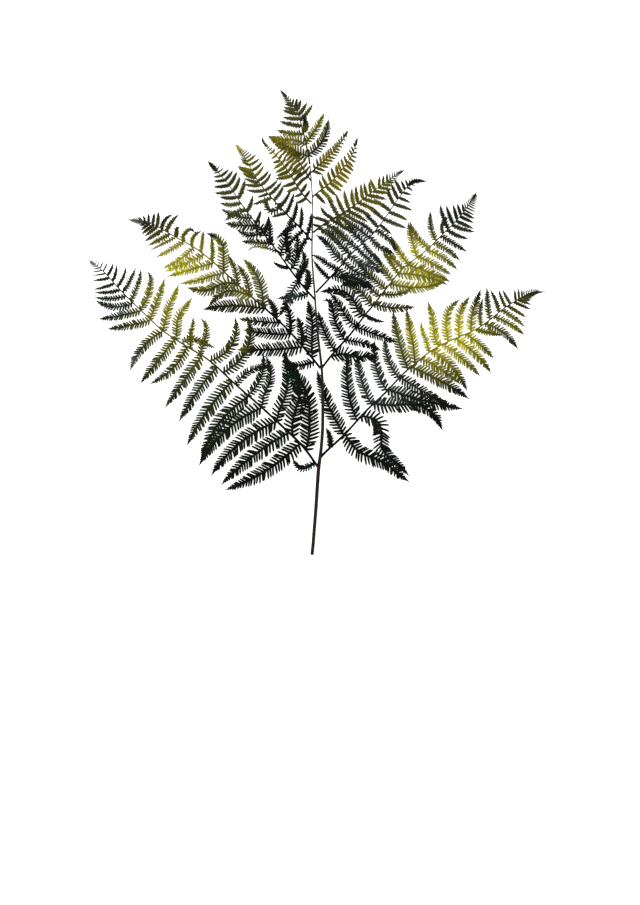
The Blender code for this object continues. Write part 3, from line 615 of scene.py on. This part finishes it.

# The second pair of pinnae, smaller than the first. The left one is crowded in its middle, and on both
# painted sunlight makes the outer halves yellow-green.
leaf_piece(
    "pinna_left_2_leaf", "pinna_left_2", key=0, tilt=.06, lift=.0, seed=12, stout=1.12, blade=(8, .9),
    rib=[(320.5, 368.5), (303, 347), (287, 329), (270, 313), (255, 300), (240, 287), (222, 270),
         (207, 257), (195, 248), (183, 241), (170, 234), (157, 226), (145, 221), (127, 219.5)],
    sides=[
        [(312, [(312, 335), (312, 320), (308, 300)], 1.1), (302, 297, 317, .08, 1.5),
         (290, 284, 303, .10, 1.4),
         (276, 267, 298, .10, 1.5), (263, 243, 259, .12), (250, 237, 264, .08), (238, 228, 255, .06),
         (224, [(223.5, 260), (223.5, 250), (221, 241), (214, 236), (206, 233)]), (212, 211, 236, .04),
         (201, 203.5, 230), (192, [(192, 240), (196, 234), (202, 231)]),
         (184, [(183, 236), (187, 231), (191, 229), (195, 233)]),
         (176, [(176.5, 232), (177, 228), (180, 227)], 1.4),
         (167, [(168, 227), (173, 220), (179, 214)]), (162, [(163, 223), (167, 217.5), (173, 214)]),
         (157, 158, 211, .04), (152.5, 154, 212, .03), (148.5, 148.5, 213), (145, 143, 215),
         (142, 138.5, 216.5)],
        [(315, 283, 366, .06, 1.3), (303, 237, 350, .02), (292, 243, 330, .03), (281, 239, 319, .02),
         (266, 203, 310, -.06), (252, [(235, 291), (221, 294), (209, 306)]),
         (238, [(225, 283), (207, 291), (187, 288)]),
         (225, [(213, 276), (197, 281), (180, 284)], .8), (214, 167, 277, .0, .8), (204, 164, 272, .02, .8),
         (194, 162, 269, .06, .8), (184, 156, 257.5, .02, .9), (176, 149, 251, .0, .6), (170, 148, 246),
         (163, 144, 242), (157.5, 144.5, 236.5), (154, 141, 234.5), (150, 140.5, 230.5),
         (147, 140, 226.5)]],
    light=[(MOSS, 250, 285, 24, 26), (OLIVE, 200, 255, 52, 40), (OLIVE, 246, 293, 10, 10),
           (OLIVE, 238, 336, 12, 20),
           (YELLOW, 178, 265, 30, 20), (BLACK_GREEN, 212, 234, 9, 4), (BLACK_GREEN, 194, 231, 4, 3),
           (MIST, 130, 219, 10, 8)])
leaf_piece(
    "pinna_right_2_leaf", "pinna_right_2", key=0, tilt=.06, lift=.0, seed=22, stout=1.1,
    rib=[(322, 368), (330, 357.5), (340, 346), (350, 335), (358, 324.5), (366, 314), (374, 304.5),
         (382, 294), (390, 284), (398, 274), (407, 265), (418, 257), (428, 249), (438, 239),
         (447, 230), (455, 222), (463, 213), (470, 203), (477.5, 190.5)],
    sides=[
        [(335, 318, 311, .05),
         (345, [(340, 333), (337, 326), (334, 318), (333, 310), (331, 303), (328, 300), (323, 301)]),
         (357, [(350, 322), (345, 315), (341, 308), (337, 302), (333, 297), (330, 293)]),
         (364, [(358, 311), (355, 303), (351, 297), (344, 292), (335, 290), (320, 292)]),
         (373, [(368, 301), (364, 295), (358, 290), (352, 286), (345, 284), (340, 287)]),
         (380, [(374, 292), (367, 286), (361, 281), (352, 277)]),
         (386, [(378, 283), (371, 276), (364, 270), (357, 263)]),
         (392, [(386, 273), (381, 266), (372, 252)]), (398, [(390, 262), (382, 250)]), (403, 384, 246, .04),
         (408, 391, 236, .04), (417, 408, 222, .02), (429, 410, 221, .12), (436, 431, 211, .10),
         (443, 449, 217, .22), (448, 440, 204, .04), (453, 446, 205, .02), (457, 453, 204, .0),
         (461, 457, 203, .0), (464, 462, 203, .0)],
        [(331, [(345, 354), (352, 357), (360, 357), (378, 357)], 1.3), (345, 381, 351, -.06),
         (356, 397, 343, .0),
         (365, 385, 322, .08), (374, 415, 307, .06), (382, 412, 288, .12), (390, 443, 283, .08),
         (398, 447, 285, -.06), (407, 450, 282, -.02), (418, 451, 275, -.02), (427, 457, 270, -.06),
         (434, 460, 261, -.05), (441, 467, 252, .0), (447, 469, 239, .06), (452, 475, 232, .04),
         (456, 474, 229, .0), (460, 474, 223, .0), (463, 475, 219, .0)]],
    light=[(MOSS, 385, 285, 30, 25), (OLIVE, 415, 265, 42, 38), (LIME, 418, 265, 28, 28),
           (DEEP_GREEN, 465, 225, 25, 35), (FOLD_SHADE_GREEN, 350, 358, 9, 5)])

# The third pair of pinnae, whose pinnules bend over each other. Painted light makes the left one moss
# green, and the right one blue-green near the stalk.
leaf_piece(
    "pinna_left_3_leaf", "pinna_left_3", key=0, tilt=.075, lift=.0, seed=13, stout=1.2, blade=(14, 2.0),
    rib=[(315, 300), (306, 290), (297, 279), (286, 264), (276, 250), (266, 237), (256, 223.5),
         (247, 212), (238, 199), (228, 184), (221, 176), (215, 169), (207.5, 161)],
    sides=[
        [(306, [(309, 280), (307, 269)], 1.6), (299, [(300, 276), (305, 268), (309, 258)]),
         (296, [(299, 274), (303, 266), (305, 258), (302, 250)]),
         (290, [(293, 268), (296, 258), (298, 245), (297, 235)]),
         (284, [(290, 258), (288, 245), (286, 232)]), (280, 292, 216, .02),
         (273, [(270, 240), (270, 228), (268, 217)]), (264, 269, 216, .04), (256, 261, 210, .04),
         (247, 253, 195, .05), (238, 245, 179, .06), (233, 240, 176, .06), (229, 237, 171, .05),
         (225, 233, 170, .04), (221, 229, 169, .04)],
        [(309, [(300, 296.5), (290, 297.5), (277, 299)]), (299, [(293, 290), (288, 302), (279, 317)]),
         (289, 273, 262, .10),
         (278, [(272, 250), (266, 248), (258, 247), (252, 248), (247, 253)], .5), (271, 241, 241.5, .02),
         (266, [(262, 232), (258, 235), (250, 236), (243, 234), (237, 230)]),
         (262, [(258, 226), (250, 226), (240, 226), (233, 225), (225, 223.5)]),
         (252, [(243, 218), (236, 216), (228, 213), (221, 209)]),
         (247, [(243, 210), (236, 213), (231, 217), (224, 221.5)]),
         (241, [(233, 205), (226, 205), (219, 203)]),
         (237, 219, 197, .06), (233, 214, 193, .06), (229, 213, 187, .04), (225, 213, 181, .04),
         (221, 213, 177, .03)]],
    light=[(MOSS, 232, 195, 28, 38), (FOLD_SHADE_GREEN, 287, 264, 9, 9), (FOLD_SHADE_GREEN, 287, 220, 7, 9),
           (OLIVE, 256, 249, 12, 6), (BLUE_GREEN, 292, 294, 8, 8), (MOSS, 240, 190, 10, 14)])
leaf_piece(
    "pinna_right_3_leaf", "pinna_right_3", key=0, tilt=.075, lift=.0, seed=23, stout=1.1, blade=(20, 2.2),
    rib=[(316, 293), (330, 278), (342, 265), (352, 253.5), (362, 244), (372, 235), (380, 225),
         (388, 214), (395, 203), (402, 194), (408, 186), (416, 181), (427, 181.5)],
    sides=[
        [(329, [(322, 272), (317, 266), (313, 260)]),
         (338, [(330, 266), (322, 260), (315, 256), (311, 255)]),
         (345, [(337, 257), (332, 250), (328, 243), (322, 239), (316, 235)]),
         (351, [(346, 252), (341, 245), (336, 239), (331, 234), (325, 229)]),
         (357, [(352, 245), (345, 238), (340, 233), (334, 228), (329, 226)]),
         (364, [(358, 238), (353, 233), (349, 226), (342, 217)]),
         (369, [(362, 232), (355, 227), (349, 223), (343, 219)]),
         (373, [(367, 228), (360, 223), (352, 221)]), (378, [(372, 221), (367, 216), (362, 211)]),
         (384, 366, 205, .0), (390, 374, 199, .0), (394, 387, 186, .05), (398, 391, 183, .02),
         (402, 394, 178, .0), (405, 401, 180, .0), (408, 405, 179, .0)],
        [(332, [(340, 278), (350, 281), (360, 284), (372, 289)]),
         (338, [(345, 276), (355, 279), (365, 283), (374, 288)]),
         (344, [(352, 270), (360, 274), (368, 278), (374, 279)]),
         (350, [(358, 263), (366, 266), (373, 268), (385, 274)]),
         (357, [(363, 255), (370, 261), (378, 267)]), (363, [(367, 250), (375, 258), (383, 266)]),
         (370, [(378, 247), (386, 250), (395, 255)]),
         (376, [(385, 236), (390, 241), (394, 247), (395, 253)]),
         (380, [(387, 231), (392, 235)]), (384, 407, 229, .0), (389, 408, 221, -.03), (394, 413, 211, -.02),
         (399, 411, 203, .0), (403, 412, 195, .0), (407, 413, 191, .0)]],
    light=[(BLUE_GREEN, 362, 248, 30, 30), (MOSS, 398, 212, 24, 28), (BLACK_GREEN, 421, 181, 10, 5)])

# The fourth pair of pinnae, with straighter pinnules. Painted sunlight gives the left one a small yellow
# tip and turns the right one olive towards its end.
leaf_piece(
    "pinna_left_4_leaf", "pinna_left_4", key=0, tilt=.085, lift=.0, seed=14, stout=1.06, blade=(12, 1.2),
    rib=[(311.5, 241), (300, 228), (288, 216), (276, 203), (265, 190.5), (256, 178), (250, 167),
         (245, 158), (240, 151), (234.5, 142.5)],
    sides=[
        [(307, 311, 212, .06), (300, 301, 206, .06), (293, 297, 200, .04), (286, 294, 193, .04),
         (280, 291, 189, .05), (274, 284, 185, .05), (269, 282, 181, .06), (265, 278, 179, .08),
         (261, 271, 172, .10), (258, 269, 170, .08), (255, 264, 165, .06), (252, 263, 161, .06),
         (249, 260, 158, .06), (247, 256, 154, .06)],
        [(308, 297, 262, -.06), (303, 285, 250, -.04), (297, 276, 240, -.04),
         (286, [(280, 215), (271, 218)]),
         (276, [(280, 208), (272, 212), (268, 210), (266, 204), (264, 196)]), (271.5, 252, 205, .02),
         (268, 257, 198), (265, 246, 190, .08), (261, 243, 184, .07), (259, 244, 178, .07),
         (256, 242, 173, .07), (254, 238, 168, .05), (252, 237, 166, .03), (249, 241, 161, .03),
         (247, 240, 159)]],
    light=[(MOSS, 262, 190, 30, 36), (OLIVE, 250, 168, 14, 16), (YELLOW, 237, 146, 8, 8)])
leaf_piece(
    "pinna_right_4_leaf", "pinna_right_4", key=0, tilt=.085, lift=.0005, seed=24, stout=1.12, blade=(9, .9),
    rib=[(313, 233), (322, 226), (333, 219), (345, 212), (358, 203), (370, 194), (380, 186),
         (389, 180), (397, 174), (406, 169.5)],
    sides=[
        [(321, 311, 224, .04), (328, [(319, 219), (311, 217)]), (333, [(325, 214), (320, 206)]),
         (338, 327, 195, .02), (344, 336, 194, .04), (349, 344, 190, .04), (354, 352, 188, .06),
         (358, 356, 185, .04), (363, 361, 183, .04), (367, 364, 182, .03), (371, 369, 181, .03),
         (375, 370, 178, .03), (379, 380, 176, .03), (383, 384, 175, .03), (387, 387, 173)],
        [(319, 340, 247, -.04), (325, 349, 243, -.03), (331, 353, 234, -.03), (336, 345, 231),
         (338, 355, 229, -.02),
         (342, 361, 225, -.02), (347, 368, 223, -.02), (352, 372, 217, -.02), (358, 378, 212, -.02),
         (363, 384, 206, -.02), (368, 387, 200, -.02), (373, 390, 194, -.02), (378, 392, 190, .0),
         (382, 394, 186, .0), (386, 395, 183, .0)]],
    light=[(MOSS, 350, 212, 42, 34), (OLIVE, 370, 195, 35, 24)])

# The fifth pair of pinnae, whose pinnules are short and little cut. Painted sunlight makes both olive,
# with a patch of gold.
leaf_piece(
    "pinna_left_5_leaf", "pinna_left_5", key=0, tilt=.10, lift=-.0035, seed=15, stout=1.3, blade=(12, 1.2),
    rib=[(311.4, 204), (303, 195), (297, 186), (291, 176), (285, 167), (279, 159), (273, 152),
         (267, 146), (263, 141), (262.5, 136)],
    sides=[
        [(305, 310, 190, .05), (301, 307, 183, .05), (297, 304, 177, .04), (294, 301, 171, .04),
         (291, 297, 168, .04), (288, 293, 164, .04), (285, 290, 160, .03), (282, 286, 157, .03),
         (279, 282, 153, .03), (276, 279, 151, .0), (273, 275, 148, .0)],
        [(306, 296, 204, .04), (302, 294, 197, .06), (298, 286, 192, .04), (295, 282, 187, .03),
         (291, 275, 179, .03), (288, 276, 176, .03), (285, 275, 173, .03), (282, 273, 169, .03),
         (280, 272, 163, .03), (276, 271, 159, .0), (273, 268, 154, .0)]],
    light=[(MOSS, 295, 190, 25, 25), (OLIVE, 282, 165, 26, 26), (GOLD, 272, 158, 12, 16)])
leaf_piece(
    "pinna_right_5_leaf", "pinna_right_5", key=0, tilt=.10, lift=.0, seed=25, stout=1.22, blade=(9, 1.3),
    rib=[(312.8, 197), (320, 191), (328, 185), (335, 178), (342, 170), (348, 162), (352, 155),
         (355, 147), (357.5, 137)],
    sides=[
        [(323, 319, 179, .06), (327, 322, 175, .05), (331, 328, 171, .05), (335, 331, 167, .04),
         (338, 336, 164, .04), (341, 338, 161, .04), (344, 341, 158, .03), (347, 344, 155, .03),
         (350, 347, 152), (352, 349, 149), (353.5, 351, 146), (355, 353.5, 142.5)],
        [(316, 326, 205, .0), (321, 334, 203, .0), (326, 337, 197, .0), (330, 342, 192, .0),
         (333, 344, 188, .0), (337, 348, 184, .0), (340, 350, 180, .0), (343, 352, 175, .0),
         (346, 354, 172), (348, 354, 168), (350, 356, 163), (351.5, 357, 158), (353, 358, 153),
         (354.5, 358, 148)]],
    light=[(OLIVE, 335, 175, 32, 36), (GOLD, 342, 178, 16, 22)])

# The sixth pair of pinnae, the last that grow from the stalk itself. Painted sunlight makes them olive
# and gold like the fifth, and their pinnules are still shorter.
leaf_piece(
    "pinna_left_6_leaf", "pinna_left_6", key=0, tilt=.11, lift=-.0008, seed=16, stout=1.16,
    rib=[(310.8, 181), (304, 170), (298, 161), (291, 153), (284, 147), (276, 142), (268.5, 137)],
    sides=[
        [(308, 311, 170), (305.5, 309.5, 166), (303, 308, 162), (300.5, 306.5, 159), (298, 304.5, 156),
         (295.5, 302, 153.5), (293, 299, 151), (290.5, 296.5, 149), (288, 293, 147), (285, 290, 145)],
        [(308, 300, 183), (305, 296, 180), (302.5, 293, 176), (300, 291, 172), (297.5, 289, 168),
         (295, 287, 165), (292.5, 285.5, 162), (290, 283.5, 159), (287, 281.5, 156), (284, 279, 153),
         (281, 277, 150)]],
    light=[(OLIVE, 290, 156, 25, 25), (GOLD, 286, 158, 10, 10)])
leaf_piece(
    "pinna_right_6_leaf", "pinna_right_6", key=0, tilt=.11, lift=.0, seed=26, stout=1.15, blade=(8, 1.2),
    rib=[(311.2, 173), (318, 166), (325, 160), (331, 154), (338, 147), (343, 140), (348.5, 129.5)],
    sides=[
        [(315, 313, 163), (318, 316.5, 158), (321, 320, 155), (324, 323, 152.5), (326.5, 326, 150.5),
         (329, 328, 148.5), (331.5, 330, 146.5), (334, 332.5, 144.5), (336, 334.5, 142),
         (338, 336.5, 140.5), (340, 338.5, 138), (342, 341, 135), (344, 343.5, 132.5)],
        [(313, 323, 175), (316, 326, 171.5), (319, 329, 168), (322, 331.5, 164.5), (325, 334, 161.5),
         (328, 336, 159), (331, 338, 156), (333.5, 340, 153), (336, 341.5, 150.5), (338.5, 343, 147.5),
         (341, 344.5, 144.5), (343.5, 346, 141), (345.5, 347.5, 137)]],
    light=[(OLIVE, 330, 154, 27, 27), (GOLD, 334, 158, 12, 12)])

# The crown: the end of the stalk with its last, still half rolled pinnae. It is one piece, and its
# rib carries the stalk's line on to the tip of the frond.
leaf_piece(
    "crown_leaf", "crown", key=1, tilt=.0, lift=.0030, seed=31, stout=1.2, blade=(10, 1.2),
    rib=[(309.8, 164.5), (308.6, 156), (306, 144), (303.5, 133), (300.5, 122), (297.5, 113),
         (293, 105), (288, 99), (284, 94), (279.5, 89.5)],
    sides=[
        [(157, [(297, 152), (287, 147), (278, 142), (268, 136)]),
         (145, [(298, 141), (288, 139.5), (278, 139.5), (269, 136)]),
         (134, 276, 130, .05), (126, 279, 121, .04), (119, 282, 117, .03), (114, 282, 110, .03),
         (110, 283, 107, .03),
         (106, 284, 104)],
        [(155, [(318, 147), (324, 138), (327, 128), (328.5, 119)]), (143, [(315, 130), (324.5, 113)]),
         (132, [(306, 126), (304, 117)], 1.6), (120, 313, 104, .05), (115, 307, 102, .05),
         (111, 301, 99, .04),
         (108, 297, 97.5, .03), (104, 294, 98)]],
    light=[(MOSS, 292, 122, 30, 45), (OLIVE, 285, 145, 24, 16), (GOLD, 280, 142, 16, 8),
           (OLIVE, 316, 120, 12, 20), (BLACK_GREEN, 305, 120, 4, 6), (BLACK_GREEN, 328, 118, 4, 5)])
